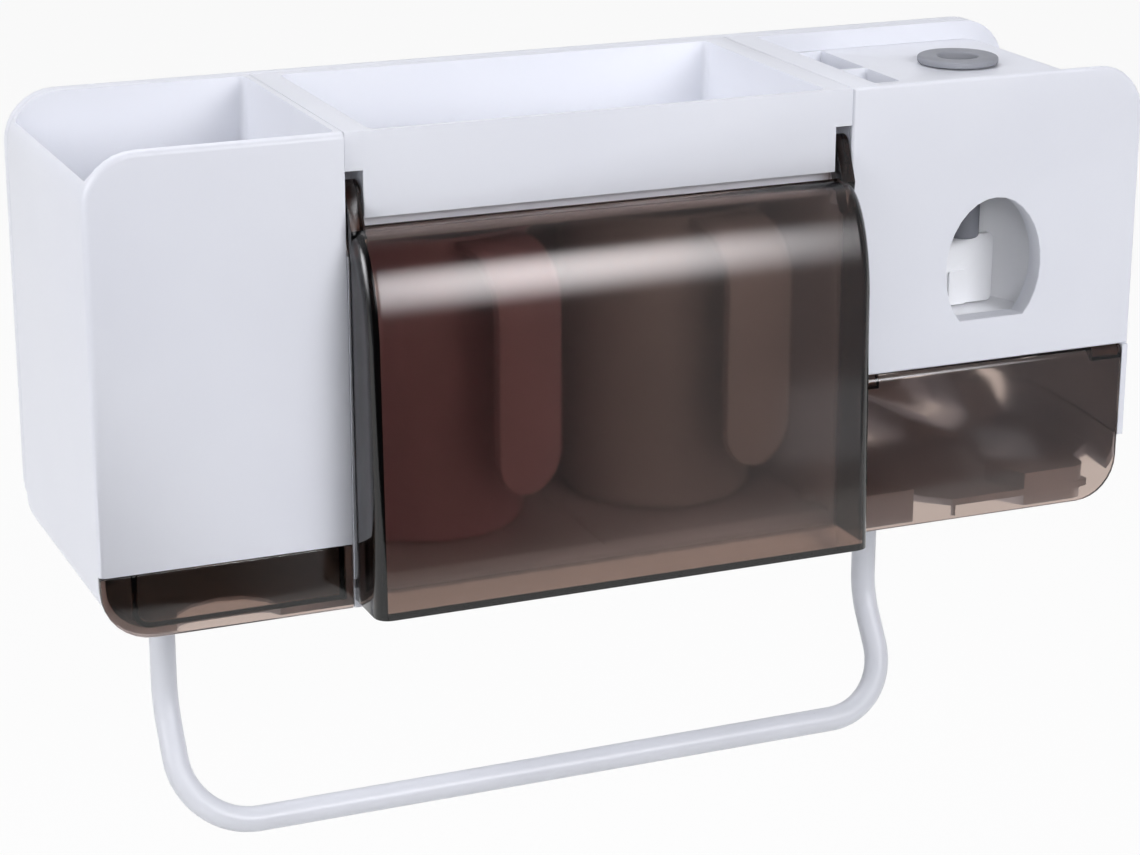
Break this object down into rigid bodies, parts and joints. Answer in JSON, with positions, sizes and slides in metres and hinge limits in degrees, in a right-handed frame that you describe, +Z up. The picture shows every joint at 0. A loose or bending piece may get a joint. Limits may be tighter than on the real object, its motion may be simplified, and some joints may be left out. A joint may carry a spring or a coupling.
{
  "type": "wall-mounted toothbrush holder",
  "caption": "Wall-mounted bathroom holder with a storage bin, a drawer, an open tray, smoked flip-up covers over tumblers and brushes, a toothpaste dispenser and a towel bar",
  "frame": {"origin": "On the wall face, midway across the housing and midway up it", "axes": "+X to the right seen from the front, +Y into the wall, +Z up"},
  "size_m": [0.39, 0.132, 0.2758],
  "materials": {
    "white_plastic": "satin white moulded plastic",
    "smoked_plastic": "see-through smoked brown-grey plastic, polished",
    "pink_plastic": "satin pink moulded plastic",
    "grey_plastic": "satin pale grey moulded plastic",
    "grey_silicone": "matt grey silicone",
    "coated_steel": "white powder-coated steel tube",
    "screw_steel": "zinc-plated steel"
  },
  "bodies": {
    "housing": {"back_panel": "white_plastic", "left_bin": "white_plastic", "centre_frame": "white_plastic", "base_plate": "white_plastic", "top_tray": "white_plastic", "cup_left": "pink_plastic", "cup_right": "grey_plastic", "right_shell": "white_plastic", "dispenser_front": "white_plastic", "inlet_grommet": "grey_silicone", "niche_liner": "white_plastic", "pump_bellows": "grey_silicone", "pump_body": "white_plastic", "outlet_nozzle": "grey_silicone", "brush_rack": "white_plastic", "towel_bar": "coated_steel", "bar_socket_left": "white_plastic", "bar_socket_right": "white_plastic", "bin_screw_left": "screw_steel", "bin_screw_right": "screw_steel", "frame_screw_left": "screw_steel", "frame_screw_right": "screw_steel", "shell_screw_left": "screw_steel", "shell_screw_right": "screw_steel", "rack_screw_left": "screw_steel", "rack_screw_right": "screw_steel", "left_socket_screw_left": "screw_steel", "left_socket_screw_right": "screw_steel", "right_socket_screw_left": "screw_steel", "right_socket_screw_right": "screw_steel", "base_screw_1": "screw_steel", "base_screw_2": "screw_steel", "base_screw_3": "screw_steel", "base_screw_4": "screw_steel"},
    "cup_cover": {"cup_cover": "smoked_plastic"},
    "brush_cover": {"brush_cover": "smoked_plastic"},
    "drawer": {"drawer": "smoked_plastic"},
    "paddle": {"push_paddle": "white_plastic"}
  },
  "joints": [
    {"name": "cup_cover_hinge", "type": "hinge", "parent": "housing", "child": "cup_cover", "pos_m": [-0.0155, -0.1025, 0.061], "axis": [-1, 0, 0], "range_deg": [0, 90]},
    {"name": "brush_cover_hinge", "type": "hinge", "parent": "housing", "child": "brush_cover", "pos_m": [0.13608, -0.1052, -0.0258], "axis": [-1, 0, 0], "range_deg": [0, 88]},
    {"name": "drawer_slide", "type": "slide", "parent": "housing", "child": "drawer", "axis": [0, -1, 0], "range_m": [0, 0.065]},
    {"name": "paddle_slide", "type": "slide", "parent": "housing", "child": "paddle", "axis": [0, 1, 0], "range_m": [0, 0.008], "stiffness_N_per_m": 300, "deforming": ["pump_bellows"]}
  ]
}
